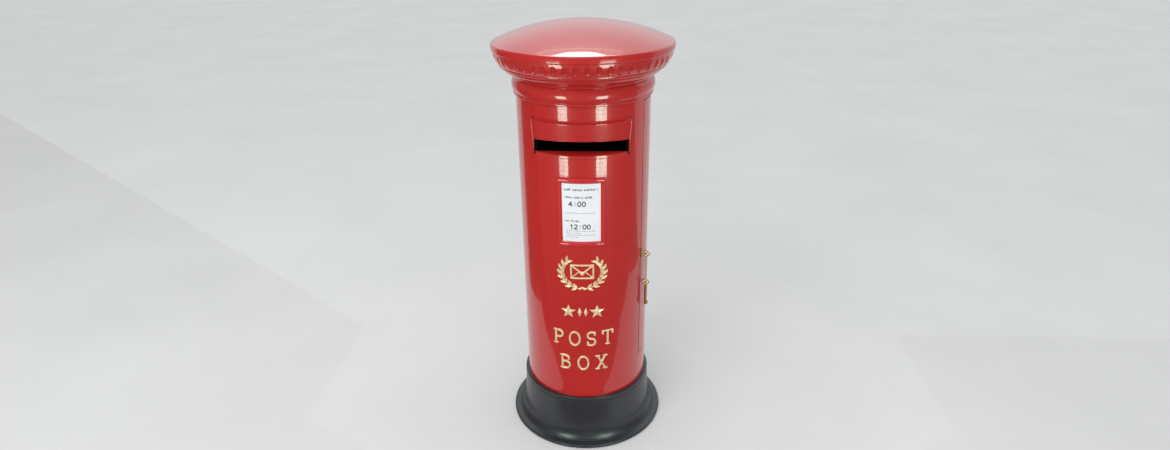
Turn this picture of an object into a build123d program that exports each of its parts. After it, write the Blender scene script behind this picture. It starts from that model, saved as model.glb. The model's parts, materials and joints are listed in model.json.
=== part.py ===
from build123d import *
import os
from math import sin, cos, radians, degrees, sqrt, atan2

# A table-top pillar letter box: cast body on a flanged plinth, domed cap, hooded slot,
# notice frame, gilt relief, and a curved door at the back right with a cam lock and two keys.
# Millimetres, +Z up, origin at the centre of the plinth's underside, slot facing -Y.
# Azimuths are degrees round +Z from the front (-Y) towards +X.

# ---- body
BODY_R = 86.5
WALL = 4.0
BODY_IN = BODY_R - WALL
BODY_Z0 = 60.0
BODY_Z1 = 496.0
FIT_GAP = 0.1

# ---- plinth
PLINTH_TOP = 72.0
FLANGE_R = 111.0
FLANGE_T = 5.0
PLINTH_BORE = 88.0
SHELF_R = 66.0
SHELF_T = 6.0
FLOOR_T = 2.5

# ---- neck and cap
NECK_Z0 = 488.0
NECK_Z1 = 509.6
NECK_IN = 66.0
DOME_R = 115.0
CAP_TOP = 575.5
CAP_WALL = 5.0
CROWN_R = 275.0
SHOULDER_R = 4.0
FASCIA_TOP = (113.3, 541.8)
FASCIA_BULGE = (111.5, 534.0)
FASCIA_FOOT = (106.6, 526.2)
INNER_R = 100.0
INNER_Z = 527.0
NECK_FLAT_R = 84.0
NECK_FLAT_Z = 518.0
FLUTE_COUNT = 54
FLUTE_AZ0 = -1.3
FLUTE_R = 3.2
FLUTE_OUT = 2.3
FLUTE_L = 8.0

# ---- internal lugs that the long screws pull up to
LUG_AZ = (30.0, 150.0, -30.0, -150.0)
LUG_R = 75.5
LUG_W = 12.0
LUG_H = 9.0
M5_R = 2.5
M5_HEAD_R = 4.4
M5_HEAD_H = 3.0

# ---- letter slot
HOOD_HALF = 43.0
SLOT_HALF = 41.7
HOOD_Z0 = 423.5
HOOD_Z1 = 470.4
HOOD_LIP_Z = 467.6
HOOD_LIP_R = 90.4
HOOD_ARCH_R = 580.0
HOOD_DROP = 3.5
SLOT_Z0 = 427.5
SLOT_Z1 = 446.5
SILL_BACK_Y = 62.0
EAR_HALF = 48.5
EAR_T = 2.0
APERTURE_SCREW_AZ = 45.8
APERTURE_SCREW_ZS = (434.0, 464.0)

# ---- notice frame and card
NOTICE_HALF = 20.7
NOTICE_Z0 = 307.3
NOTICE_Z1 = 399.7
NOTICE_RAIL = 7.0
NOTICE_RAIL_DEG = 5.0
NOTICE_SCREW_INSET = 2.4
NOTICE_H = 3.2
CARD_LAP = 1.4
CARD_LAP_DEG = 0.8
CARD_PLAY = 0.2
CARD_T = 0.5

# ---- gilt relief
RELIEF_H = 2.0
EMBLEM_Z = 271.0
STAR_ROW_Z = 209.0
UPPER_ROW_Z = 168.5
LOWER_ROW_Z = 129.5
LETTER_H = 23.0
STROKE = 3.0
SERIF_H = 1.7
UPPER_PITCH = 15.0
LOWER_PITCH = 16.6

# ---- door
DOOR_AZ0 = 61.5
DOOR_AZ1 = 172.0
DOOR_Z0 = 116.0
DOOR_Z1 = 486.0
SEAM = 0.9
SEAM_DEG = 0.9
LEDGE_R0 = 80.0
LEDGE_R1 = 82.3
LEDGE_LAP = 2.6
LEDGE_SPREAD = 4.0
LEDGE_SPREAD_DEG = 4.0
LEDGE_END_LAP = 4.5
LOCK_CLEAR_H = 12.5

# ---- hinges
HINGE_ZS = {"lower": 165.0, "upper": 435.0}
HINGE_H = 50.0
HINGE_R = 2.9
HINGE_AXIS_R = BODY_R + 0.3 + HINGE_R
LEAF_T = 1.6
LEAF_DEG = 10.0
PIN_R = 1.5
RUN_GAP = 0.05
KNUCKLES = 5
KNUCKLE_GAP = 0.3
HINGE_SCREW_R = 1.3
HINGE_HEAD_R = 2.3
HINGE_HEAD_H = 1.1
HINGE_SCREW_DEG = 7.4
HINGE_SCREW_DZ = (-19.0, 0.0, 19.0)
LEAF_NEAR_DEG = 2.3

# ---- lock: distances U are measured outwards from the body's axis along the lock's axis
LOCK_AZ = 66.0
LOCK_Z = 274.5
LOCK_SEAT_U = 86.3
LOCK_FACE_U = 87.7
LOCK_FLANGE_R = 6.2
BARREL_R = 5.2
BARREL_U0 = 53.7
PLUG_R = 4.2
PLUG_U0 = 53.6
TAIL_U0 = 51.5
TAIL_SIDE = 5.0
CAM_T = 2.0
CAM_W = 9.0
CAM_L = 19.0
CAM_SCREW_R = 1.2
CAM_SCREW_L = 4.0
CAM_HEAD_R = 3.8
CAM_HEAD_H = 1.4
NUT_AF = 12.0
NUT_T = 3.0
NUT_SEAT_R = 8.0

# ---- keys
KEY_STEM_R = 2.1
KEY_COLLAR_R = 3.0
KEY_COLLAR_T = 1.2
KEY_STEM_L = 31.0
KEY_STAND = 0.2
BOW_T = 2.2
LOBE_R = 2.7
LOBE_HOLE_R = 1.7
LOBE_OFF = 2.6
LOBE_STEP = 3.4
BIT_REACH = 3.9
BIT_T = 1.4
BIT_L = 5.0
LINK_WIRE_R = 0.35
LINK_BEND_R = 1.75
SPARE_PIVOT_Z = 236.4

# ---- keeper behind the front door jamb
KEEPER_U = 53.9
KEEPER_T = 2.0
KEEPER_H = 16.0
KEEPER_REACH = 24.0
KEEPER_LIP = 9.0
KEEPER_FOOT_T = 1.6
KEEPER_WEB_U1 = 78.4
KEEPER_SCREW_AZ = (46.0, 54.0)
M3_R = 1.5
M3_HEAD_R = 2.6
M3_HEAD_H = 1.6


def face_rz(*edges):
    """Face in the radius-height plane from joined edges."""
    return Plane.XZ * make_face(list(edges))


def box_rz(r0, r1, z0, z1):
    """Rectangle in the radius-height plane."""
    return Plane.XZ * Pos((r0 + r1) / 2, (z0 + z1) / 2) * Rectangle(r1 - r0, z1 - z0)


def turned(face, az0=-180.0, az1=180.0):
    """The face turned about +Z from one azimuth to another."""
    return Rot(0, 0, az0 - 90) * revolve(face, Axis.Z, az1 - az0)


def sector(r0, r1, z0, z1, az0=-180.0, az1=180.0):
    """Curved block between two radii, two heights and two azimuths."""
    return turned(box_rz(r0, r1, z0, z1), az0, az1)


def radial(az, z, u=0.0):
    """Plane whose normal points outwards at an azimuth; its Y is +Z."""
    a = radians(az)
    out = (sin(a), -cos(a), 0)
    return Plane(origin=(u * out[0], u * out[1], z), x_dir=(cos(a), sin(a), 0), z_dir=out)


def rod(az, z, u0, u1, r):
    """Round bar along an outward axis."""
    return radial(az, z, u0) * Cylinder(r, u1 - u0, align=(Align.CENTER, Align.CENTER, Align.MIN))


def bar(az, z, w0, w1, v0, v1, u0, u1):
    """Block in the local axes of an outward plane: sideways w, up v, outwards u."""
    block = Box(w1 - w0, v1 - v0, u1 - u0)
    return radial(az, z) * Pos((w0 + w1) / 2, (v0 + v1) / 2, (u0 + u1) / 2) * block


def post(az, r, z0, z1, radius):
    """Upright round bar at an azimuth and distance from the axis."""
    a = radians(az)
    foot = Pos(r * sin(a), -r * cos(a), z0)
    return foot * Cylinder(radius, z1 - z0, align=(Align.CENTER, Align.CENTER, Align.MIN))


def relief(sketch, z, az=0.0, height=RELIEF_H):
    """A flat outline raised from the body's curved face."""
    prism = extrude(radial(az, z, BODY_R - 30) * sketch, 40)
    return prism & sector(BODY_R, BODY_R + height, z - 60, z + 60, az - 60, az + 60)


def radial_screw(az, z, u_seat, u_tip, shank_r, head_r, head_h):
    """Slotted pan-head screw along an outward axis; the tip is on the other side of the seat."""
    outwards = 1 if u_seat > u_tip else -1
    shank = rod(az, z, min(u_seat, u_tip), max(u_seat, u_tip), shank_r)
    u_top = u_seat + outwards * head_h
    head = rod(az, z, min(u_seat, u_top), max(u_seat, u_top), head_r)
    slot_u = u_top - outwards * 0.5
    slot = bar(az, z, -head_r, head_r, -0.35, 0.35, min(slot_u, u_top), max(slot_u, u_top))
    return shank + (head - slot)


def upright_screw(az, r, z_seat, z_tip, shank_r, head_r, head_h):
    """Socket-head screw driven upwards from below its seat."""
    a = radians(az)
    shank = post(az, r, z_seat, z_tip, shank_r)
    head = post(az, r, z_seat - head_h, z_seat, head_r)
    socket = Pos(r * sin(a), -r * cos(a), z_seat - head_h) * extrude(RegularPolygon(2.2, 6), 1.8)
    return shank + (head - socket)


# ---------------------------------------------------------------- plinth and floor
def plinth():
    lip_r = 91.2
    cove_top = (93.6, 22.0)
    cove = TangentArc(cove_top, (100.2, 7.4), tangent=(2.6, -43.2))
    outer = [
        Line((PLINTH_BORE, 0), (FLANGE_R - 2, 0)),
        ThreePointArc((FLANGE_R - 2, 0), (FLANGE_R - 0.6, 0.6), (FLANGE_R, 2)),
        Line((FLANGE_R, 2), (FLANGE_R, FLANGE_T - 2)),
        ThreePointArc((FLANGE_R, FLANGE_T - 2), (FLANGE_R - 0.6, FLANGE_T - 0.6), (FLANGE_R - 2, FLANGE_T)),
        Line((FLANGE_R - 2, FLANGE_T), (102.5, 6.0)),
        ThreePointArc((102.5, 6.0), (101.6, 7.6), (100.2, 7.4)),
        cove,
        Line(cove_top, (91.0, 65.2)),
        Line((91.0, 65.2), (90.2, 65.9)),
        Line((90.2, 65.9), (lip_r, 66.8)),
        Line((lip_r, 66.8), (lip_r, PLINTH_TOP - 1.6)),
        ThreePointArc((lip_r, PLINTH_TOP - 1.6), (lip_r - 0.5, PLINTH_TOP - 0.5), (lip_r - 1.6, PLINTH_TOP)),
        Line((lip_r - 1.6, PLINTH_TOP), (BODY_R + FIT_GAP, PLINTH_TOP)),
        Line((BODY_R + FIT_GAP, PLINTH_TOP), (BODY_R + FIT_GAP, BODY_Z0)),
        Line((BODY_R + FIT_GAP, BODY_Z0), (SHELF_R, BODY_Z0)),
        Line((SHELF_R, BODY_Z0), (SHELF_R, BODY_Z0 - SHELF_T)),
        Line((SHELF_R, BODY_Z0 - SHELF_T), (BODY_R, BODY_Z0 - SHELF_T)),
        Line((BODY_R, BODY_Z0 - SHELF_T), (PLINTH_BORE, 0)),
    ]
    part = turned(face_rz(*outer))
    for az in LUG_AZ:
        part -= post(az, LUG_R, BODY_Z0 - SHELF_T - 1, BODY_Z0 + 1, M5_R + FIT_GAP)
    return part


def floor_plate():
    plate = sector(0, BODY_IN - FIT_GAP, BODY_Z0, BODY_Z0 + FLOOR_T)
    for az in LUG_AZ:
        plate -= post(az, LUG_R, BODY_Z0 - 1, BODY_Z0 + FLOOR_T + 1, M5_R + FIT_GAP)
    return plate


def base_screws():
    seat = BODY_Z0 - SHELF_T
    tip = BODY_Z0 + FLOOR_T + LUG_H - 2
    return [upright_screw(az, LUG_R, seat, tip, M5_R, M5_HEAD_R, M5_HEAD_H) for az in LUG_AZ]


# ---------------------------------------------------------------- body
def lug(az, z0):
    return bar(az, z0, -LUG_W / 2, LUG_W / 2, 0, LUG_H, LUG_R - 6.5, BODY_IN + 1)


def door_ledges():
    """Inner rebate all round the opening that the shut door rests against, gapped where the lock passes."""
    az0 = DOOR_AZ0 - LEDGE_SPREAD_DEG
    az1 = DOOR_AZ1 + LEDGE_SPREAD_DEG
    z0 = DOOR_Z0 - LEDGE_SPREAD
    z1 = DOOR_Z1 + LEDGE_SPREAD
    ring = sector(LEDGE_R0, BODY_IN + FIT_GAP, z0, z1, az0, az1)
    ring -= sector(LEDGE_R0 - 1, BODY_IN + 1, DOOR_Z0 + LEDGE_END_LAP, DOOR_Z1 - LEDGE_END_LAP,
                   DOOR_AZ0 + LEDGE_LAP, DOOR_AZ1 - LEDGE_LAP)
    ring -= sector(LEDGE_R1, BODY_IN + 1, DOOR_Z0, DOOR_Z1, DOOR_AZ0, DOOR_AZ1)
    ring -= sector(LEDGE_R0 - 1, BODY_IN + 1, LOCK_Z - LOCK_CLEAR_H, LOCK_Z + LOCK_CLEAR_H,
                   az0 - 1, DOOR_AZ0 + LEDGE_LAP + 1)
    return ring


def body_shell():
    shell = sector(BODY_IN, BODY_R, BODY_Z0, BODY_Z1)
    shell -= sector(BODY_IN - 1, BODY_R + 1, HOOD_Z0, HOOD_Z1, -HOOD_HALF, HOOD_HALF)
    shell -= sector(BODY_IN - 1, BODY_R + 1, DOOR_Z0, DOOR_Z1, DOOR_AZ0, DOOR_AZ1)
    shell += door_ledges()
    for az in LUG_AZ:
        shell += lug(az, BODY_Z0 + FLOOR_T)
        shell += lug(az, BODY_Z1 - LUG_H)
    for az in LUG_AZ:
        shell -= post(az, LUG_R, BODY_Z0 + FLOOR_T - 1, BODY_Z0 + FLOOR_T + LUG_H - 1, M5_R + RUN_GAP)
        shell -= post(az, LUG_R, BODY_Z1 - LUG_H - 1, BODY_Z1 + 1, M5_R + FIT_GAP)
    for az, z in aperture_screw_places() + keeper_screw_places() + notice_screw_places():
        shell -= rod(az, z, BODY_IN - 3, BODY_R - 1.0, M3_R + RUN_GAP)
    for az, z in hinge_screw_places(1):
        shell -= rod(az, z, BODY_IN - 1, BODY_R + 1, HINGE_SCREW_R + RUN_GAP)
    return shell


# ---------------------------------------------------------------- neck and cap
def neck_collar():
    """Bead moulding that sits over the body's top edge."""
    outline = [
        Line((BODY_R + FIT_GAP, NECK_Z0), (88.4, NECK_Z0)),
        Line((88.4, NECK_Z0), (89.5, 489.0)),
        Line((89.5, 489.0), (89.5, 490.6)),
        Line((89.5, 490.6), (88.7, 491.8)),
        Line((88.7, 491.8), (89.5, 493.0)),
        ThreePointArc((89.5, 493.0), (91.4, 500.8), (88.8, 508.6)),
        Line((88.8, 508.6), (88.0, NECK_Z1)),
        Line((88.0, NECK_Z1), (NECK_IN, NECK_Z1)),
        Line((NECK_IN, NECK_Z1), (NECK_IN, BODY_Z1)),
        Line((NECK_IN, BODY_Z1), (BODY_R + FIT_GAP, BODY_Z1)),
        Line((BODY_R + FIT_GAP, BODY_Z1), (BODY_R + FIT_GAP, NECK_Z0)),
    ]
    part = turned(face_rz(*outline))
    for az in LUG_AZ:
        part -= post(az, LUG_R, BODY_Z1 - 1, NECK_Z1 + 1, M5_R + FIT_GAP)
    return part


def flute():
    """Scooped flute that follows the fascia's slope, cut with a round-ended bar."""
    lean = degrees(atan2(FASCIA_TOP[0] - FASCIA_FOOT[0], FASCIA_TOP[1] - FASCIA_FOOT[1]))
    mid_r = (FASCIA_TOP[0] + FASCIA_FOOT[0]) / 2
    mid_z = (FASCIA_TOP[1] + FASCIA_FOOT[1]) / 2
    cutter = Cylinder(FLUTE_R, FLUTE_L)
    for end in (-1, 1):
        cutter += Pos(0, 0, end * FLUTE_L / 2) * Sphere(FLUTE_R)
    return Pos(0, -mid_r, mid_z) * Rot(lean, 0, 0) * Pos(0, -FLUTE_OUT, 0) * cutter


def cap():
    """Domed lid with a fluted fascia over a cove; crown and shoulder are tangent arcs."""
    crown_z = CAP_TOP - CROWN_R
    shoulder_r = DOME_R - SHOULDER_R
    shoulder_z = crown_z + sqrt((CROWN_R - SHOULDER_R) ** 2 - shoulder_r ** 2)
    lean = degrees(atan2(shoulder_z - crown_z, shoulder_r))
    crown = CenterArc((0, crown_z), CROWN_R, lean, 90 - lean)
    shoulder = CenterArc((shoulder_r, shoulder_z), SHOULDER_R, 0, lean)
    inner_lean = degrees(atan2(sqrt((CROWN_R - CAP_WALL) ** 2 - INNER_R ** 2), INNER_R))
    inner_crown = CenterArc((0, crown_z), CROWN_R - CAP_WALL, inner_lean, 90 - inner_lean)
    outline = [
        Line((NECK_IN, NECK_Z1), (88.0, NECK_Z1)),
        ThreePointArc((88.0, NECK_Z1), (89.3, 512.8), (93.0, 514.6)),
        Line((93.0, 514.6), (94.0, 515.5)),
        ThreePointArc((94.0, 515.5), (99.2, 517.9), (101.4, 521.8)),
        Line((101.4, 521.8), (103.2, 522.4)),
        ThreePointArc((103.2, 522.4), (106.0, 523.8), FASCIA_FOOT),
        ThreePointArc(FASCIA_FOOT, FASCIA_BULGE, FASCIA_TOP),
        Line(FASCIA_TOP, (FASCIA_TOP[0] + 0.2, 542.6)),
        ThreePointArc((FASCIA_TOP[0] + 0.2, 542.6), (114.56, 543.04), (DOME_R, 544.1)),
        Line((DOME_R, 544.1), (DOME_R, shoulder_z)),
        shoulder,
        crown,
        Line((0, CAP_TOP), (0, CAP_TOP - CAP_WALL)),
        inner_crown,
        Line(inner_crown @ 0, (INNER_R, INNER_Z)),
        Line((INNER_R, INNER_Z), (NECK_FLAT_R, NECK_FLAT_Z)),
        Line((NECK_FLAT_R, NECK_FLAT_Z), (NECK_IN, NECK_FLAT_Z)),
        Line((NECK_IN, NECK_FLAT_Z), (NECK_IN, NECK_Z1)),
    ]
    part = turned(face_rz(*outline))
    cutter = flute()
    for i in range(FLUTE_COUNT):
        part -= Rot(0, 0, FLUTE_AZ0 + i * 360 / FLUTE_COUNT) * cutter
    for az in LUG_AZ:
        part -= post(az, LUG_R, NECK_Z1 - 1, NECK_FLAT_Z - 1, M5_R + RUN_GAP)
    return part


def cap_screws():
    seat = BODY_Z1 - LUG_H
    return [upright_screw(az, LUG_R, seat, NECK_FLAT_Z - 2, M5_R, M5_HEAD_R, M5_HEAD_H) for az in LUG_AZ]


# ---------------------------------------------------------------- letter slot
def aperture_screw_places():
    return [(side * APERTURE_SCREW_AZ, z) for side in (-1, 1) for z in APERTURE_SCREW_ZS]


def aperture_frame():
    """Hood, cheeks and flat-backed sill of the letter slot, cast in one."""
    hood_outline = [
        Line((BODY_IN, HOOD_Z1), (BODY_R, HOOD_Z1)),
        ThreePointArc((BODY_R, HOOD_Z1), (88.1, HOOD_LIP_Z + 1.2), (HOOD_LIP_R, HOOD_LIP_Z + 0.4)),
        Line((HOOD_LIP_R, HOOD_LIP_Z + 0.4), (HOOD_LIP_R, HOOD_LIP_Z - 0.6)),
        Line((HOOD_LIP_R, HOOD_LIP_Z - 0.6), (87.8, SLOT_Z1 - HOOD_DROP)),
        Line((87.8, SLOT_Z1 - HOOD_DROP), (BODY_IN, SLOT_Z1 - HOOD_DROP)),
        Line((BODY_IN, SLOT_Z1 - HOOD_DROP), (BODY_IN, HOOD_Z1)),
    ]
    arch = Pos(0, -BODY_R, SLOT_Z1 - HOOD_ARCH_R) * Rot(90, 0, 0) * Cylinder(HOOD_ARCH_R, 2 * BODY_R)
    under_hood = sector(BODY_IN - 1, HOOD_LIP_R, SLOT_Z0, SLOT_Z1 + 1, -SLOT_HALF, SLOT_HALF)
    part = turned(face_rz(*hood_outline), -HOOD_HALF, HOOD_HALF) - (arch & under_hood)
    sill = sector(30, BODY_R, HOOD_Z0, SLOT_Z0, -HOOD_HALF, HOOD_HALF)
    sill &= Pos(0, -SILL_BACK_Y - 50, SLOT_Z0) * Box(200, 100, 20)
    part += sill
    cheek_face = face_rz(
        Line((BODY_IN, HOOD_Z0), (BODY_R, HOOD_Z0)),
        Line((BODY_R, HOOD_Z0), (BODY_R + 0.8, SLOT_Z0)),
        Line((BODY_R + 0.8, SLOT_Z0), (HOOD_LIP_R, HOOD_LIP_Z)),
        Line((HOOD_LIP_R, HOOD_LIP_Z), (BODY_IN, HOOD_LIP_Z)),
        Line((BODY_IN, HOOD_LIP_Z), (BODY_IN, HOOD_Z0)),
    )
    for az0, az1 in ((-HOOD_HALF, -SLOT_HALF), (SLOT_HALF, HOOD_HALF)):
        part += turned(cheek_face, az0, az1)
    for az0, az1 in ((-EAR_HALF, -SLOT_HALF), (SLOT_HALF, EAR_HALF)):
        part += sector(BODY_IN - EAR_T, BODY_IN, HOOD_Z0 + 4, HOOD_Z1 - 4, az0, az1)
    for az, z in aperture_screw_places():
        part -= rod(az, z, BODY_IN - 5, BODY_R, M3_R + FIT_GAP)
    return part


def aperture_screws():
    seat = BODY_IN - EAR_T - FIT_GAP
    return [radial_screw(az, z, seat, BODY_R - 1.2, M3_R, M3_HEAD_R, M3_HEAD_H)
            for az, z in aperture_screw_places()]


# ---------------------------------------------------------------- notice
def notice_screw_places():
    zs = (NOTICE_Z0 + NOTICE_RAIL / 2, NOTICE_Z1 - NOTICE_RAIL / 2)
    return [(side * (NOTICE_HALF - NOTICE_SCREW_INSET), z) for side in (-1, 1) for z in zs]


def notice_frame():
    """Bevelled raised frame round the notice."""
    part = Part()
    steps = ((0.0, 1.2), (0.5, 2.4), (1.3, NOTICE_H))
    for inset, top in steps:
        deg = degrees(inset / BODY_R)
        part += sector(BODY_R, BODY_R + top, NOTICE_Z0 + inset, NOTICE_Z1 - inset,
                       -NOTICE_HALF + deg, NOTICE_HALF - deg)
    half = NOTICE_HALF - NOTICE_RAIL_DEG
    part -= sector(BODY_R - 1, BODY_R + 9, NOTICE_Z0 + NOTICE_RAIL, NOTICE_Z1 - NOTICE_RAIL, -half, half)
    lap_deg = degrees(CARD_LAP / BODY_R)
    part -= sector(BODY_R - 1, BODY_R + CARD_T + 0.1, NOTICE_Z0 + NOTICE_RAIL - CARD_LAP,
                   NOTICE_Z1 - NOTICE_RAIL + CARD_LAP, -half - lap_deg, half + lap_deg)
    return part


def notice_card():
    half = NOTICE_HALF - NOTICE_RAIL_DEG + CARD_LAP_DEG
    inset = NOTICE_RAIL - CARD_LAP + CARD_PLAY
    return sector(BODY_R, BODY_R + CARD_T, NOTICE_Z0 + inset, NOTICE_Z1 - inset, -half, half)


def notice_screws():
    seat = BODY_IN - FIT_GAP
    return [radial_screw(az, z, seat, BODY_R - 1.2, M3_R, M3_HEAD_R, M3_HEAD_H)
            for az, z in notice_screw_places()]


# ---------------------------------------------------------------- gilt relief
def stem_stroke(x, height=LETTER_H, foot=True, head=True):
    """Upright stroke with slab serifs."""
    shape = Pos(x, 0) * Rectangle(STROKE, height)
    serif = STROKE + 3.4
    if foot:
        shape += Pos(x, -height / 2 + SERIF_H / 2) * Rectangle(serif, SERIF_H)
    if head:
        shape += Pos(x, height / 2 - SERIF_H / 2) * Rectangle(serif, SERIF_H)
    return shape


def bowl(x, y, radius):
    """Half-round bowl of a letter, open side to the left."""
    ring = Circle(radius) - Circle(radius - STROKE + 0.4)
    arms = Pos(-2.4, 0) * (Rectangle(4.8, 2 * radius) - Rectangle(4.8, 2 * (radius - STROKE + 0.8)))
    half = ring & (Pos(radius, 0) * Rectangle(2 * radius, 3 * radius))
    return Pos(x, y) * (half + arms)


def slanted(x0, y0, x1, y1):
    """Diagonal stroke with level ends."""
    half = STROKE * 0.62
    points = [(x0 - half, y0), (x0 + half, y0), (x1 + half, y1), (x1 - half, y1)]
    return make_face(Polyline(*points, close=True))


def letter_p():
    return stem_stroke(-4.6) + bowl(0.6, LETTER_H / 2 - 6.6, 6.6)


def letter_o():
    return Ellipse(8.2, LETTER_H / 2) - Ellipse(8.2 - STROKE, LETTER_H / 2 - STROKE + 0.8)


def letter_s():
    upper = SlotArc(CenterArc((0, 5.1), 4.7, 35, 235), STROKE)
    lower = SlotArc(CenterArc((0, -4.9), 4.9, -145, 235), STROKE)
    return upper + lower


def letter_t():
    half = LETTER_H / 2
    shape = stem_stroke(0, head=False) + Pos(0, half - 1.5) * Rectangle(16.0, 3.0)
    for side in (-1, 1):
        shape += Pos(side * 7.1, half - 3.0) * Rectangle(1.8, 6.0)
    return shape


def letter_b():
    return stem_stroke(-4.6) + bowl(0.4, LETTER_H / 2 - 6.1, 6.1) + bowl(0.6, -LETTER_H / 2 + 6.5, 6.5)


def letter_x():
    half = LETTER_H / 2
    shape = slanted(-5.6, half, 5.6, -half) + slanted(5.6, half, -5.6, -half)
    for sx in (-1, 1):
        for sy in (-1, 1):
            shape += Pos(sx * 5.8, sy * (half - SERIF_H / 2)) * Rectangle(6.4, SERIF_H)
    return shape


def row_of(letters, z, pitch):
    """Letters side by side round the body, each facing straight out."""
    start = -pitch * (len(letters) - 1) / 2
    return [relief(make(), z, start + i * pitch) for i, make in enumerate(letters)]


def star(points, outer, inner):
    corners = []
    for i in range(2 * points):
        a = radians(90 + i * 180 / points)
        r = outer if i % 2 == 0 else inner
        corners.append((r * cos(a), r * sin(a)))
    return make_face(Polyline(*corners, close=True))


def star_row():
    """Two stars with two upright lozenges between them."""
    pieces = [relief(star(5, 11.2, 4.9), STAR_ROW_Z, side * 12.8) for side in (-1, 1)]
    pieces += [relief(star(2, 7.6, 2.9), STAR_ROW_Z, side * 2.7) for side in (-1, 1)]
    return pieces


def leaf_spray(side):
    """Stem and paired leaves curving up one side of the emblem."""
    stretch_x, stretch_y = 1.1, 0.92
    spray_r = 25.5
    start = -86 if side > 0 else 136
    spray = scale(SlotArc(CenterArc((0, 0), spray_r, start, 130), 1.5), by=(stretch_x, stretch_y, 1))
    for i in range(7):
        turn = -76 + i * 19.0
        x = side * spray_r * stretch_x * cos(radians(turn))
        y = spray_r * stretch_y * sin(radians(turn))
        for lean in (-38, 34):
            leaf = Rot(0, 0, side * (turn + 90 + lean)) * Pos(side * 3.6, 0) * Ellipse(4.9, 2.1)
            spray += Pos(x, y) * leaf
    return spray


def emblem():
    """A sealed letter between two sprays of leaves."""
    width, height, rim = 31.0, 21.0, 2.3
    letter = Rectangle(width, height) - Rectangle(width - 2 * rim, height - 2 * rim)
    flap = Polyline((-width / 2 + 1, height / 2 - 1), (0, -1.8), (width / 2 - 1, height / 2 - 1))
    shape = Pos(0, 2.0) * (letter + trace(flap, 2.4))
    for side in (-1, 1):
        shape += leaf_spray(side)
    return relief(shape, EMBLEM_Z)


# ---------------------------------------------------------------- door and hinges
def hinge_screw_places(side):
    """Screw places of one side's leaves: +1 on the body, -1 on the door."""
    az = DOOR_AZ1 + side * HINGE_SCREW_DEG
    return [(az, z + dz) for z in HINGE_ZS.values() for dz in HINGE_SCREW_DZ]


def door_panel():
    panel = sector(BODY_IN, BODY_R, DOOR_Z0 + SEAM, DOOR_Z1 - SEAM, DOOR_AZ0 + SEAM_DEG, DOOR_AZ1 - SEAM_DEG)
    panel -= rod(LOCK_AZ, LOCK_Z, LOCK_SEAT_U, BODY_R + 2, LOCK_FLANGE_R + 0.2)
    panel -= rod(LOCK_AZ, LOCK_Z, BODY_IN - 10, BODY_IN, NUT_SEAT_R)
    panel -= rod(LOCK_AZ, LOCK_Z, BODY_IN - 2, BODY_R + 2, BARREL_R + RUN_GAP)
    for az, z in hinge_screw_places(-1):
        panel -= rod(az, z, BODY_IN - 1, BODY_R + 1, HINGE_SCREW_R + RUN_GAP)
    return panel


def hinge_leaf(side, z_mid):
    """Curved leaf with its knuckles; side +1 is fixed to the body, -1 to the door."""
    z0 = z_mid - HINGE_H / 2
    step = HINGE_H / KNUCKLES
    edges = sorted((DOOR_AZ1 + side * LEAF_NEAR_DEG, DOOR_AZ1 + side * (LEAF_NEAR_DEG + LEAF_DEG)))
    leaf = sector(BODY_R, BODY_R + LEAF_T, z0, z0 + HINGE_H, *edges)
    owned = range(0, KNUCKLES, 2) if side > 0 else range(1, KNUCKLES, 2)
    for i in owned:
        k0 = z0 + i * step + (KNUCKLE_GAP if i > 0 else 0)
        k1 = z0 + (i + 1) * step - (KNUCKLE_GAP if i < KNUCKLES - 1 else 0)
        leaf += post(DOOR_AZ1, HINGE_AXIS_R, k0, k1, HINGE_R)
        tab = sorted((DOOR_AZ1 + side * 0.6, DOOR_AZ1 + side * (LEAF_NEAR_DEG + 0.5)))
        leaf += sector(BODY_R + 0.3, BODY_R + LEAF_T, k0, k1, *tab)
    bore = PIN_R if side > 0 else PIN_R + RUN_GAP
    leaf -= post(DOOR_AZ1, HINGE_AXIS_R, z0 - 1, z0 + HINGE_H + 1, bore)
    for az, z in hinge_screw_places(side):
        if abs(z - z_mid) < HINGE_H / 2:
            leaf -= rod(az, z, BODY_R - 1, BODY_R + LEAF_T + 1, HINGE_SCREW_R + RUN_GAP)
    return leaf


def hinge_pin(z_mid):
    z0 = z_mid - HINGE_H / 2
    pin = post(DOOR_AZ1, HINGE_AXIS_R, z0, z0 + HINGE_H, PIN_R)
    for z in (z0 - 1.6, z0 + HINGE_H):
        pin += post(DOOR_AZ1, HINGE_AXIS_R, z, z + 1.6, HINGE_R - 0.5)
    return pin


def hinge_screws(side):
    seat = BODY_R + LEAF_T
    return [radial_screw(az, z, seat, BODY_IN + 0.6, HINGE_SCREW_R, HINGE_HEAD_R, HINGE_HEAD_H)
            for az, z in hinge_screw_places(side)]


# ---------------------------------------------------------------- lock
def lock_barrel():
    part = rod(LOCK_AZ, LOCK_Z, BARREL_U0, LOCK_SEAT_U, BARREL_R)
    part += rod(LOCK_AZ, LOCK_Z, LOCK_SEAT_U, LOCK_FACE_U, LOCK_FLANGE_R)
    return part - rod(LOCK_AZ, LOCK_Z, BARREL_U0 - 1, LOCK_FACE_U + 1, PLUG_R + RUN_GAP)


def lock_nut():
    hexagon = Rot(0, 0, 30) * RegularPolygon(NUT_AF / 2, 6, major_radius=False)
    hexagon -= Circle(BARREL_R + RUN_GAP)
    return extrude(radial(LOCK_AZ, LOCK_Z, BODY_IN - NUT_T) * hexagon, NUT_T)


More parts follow.
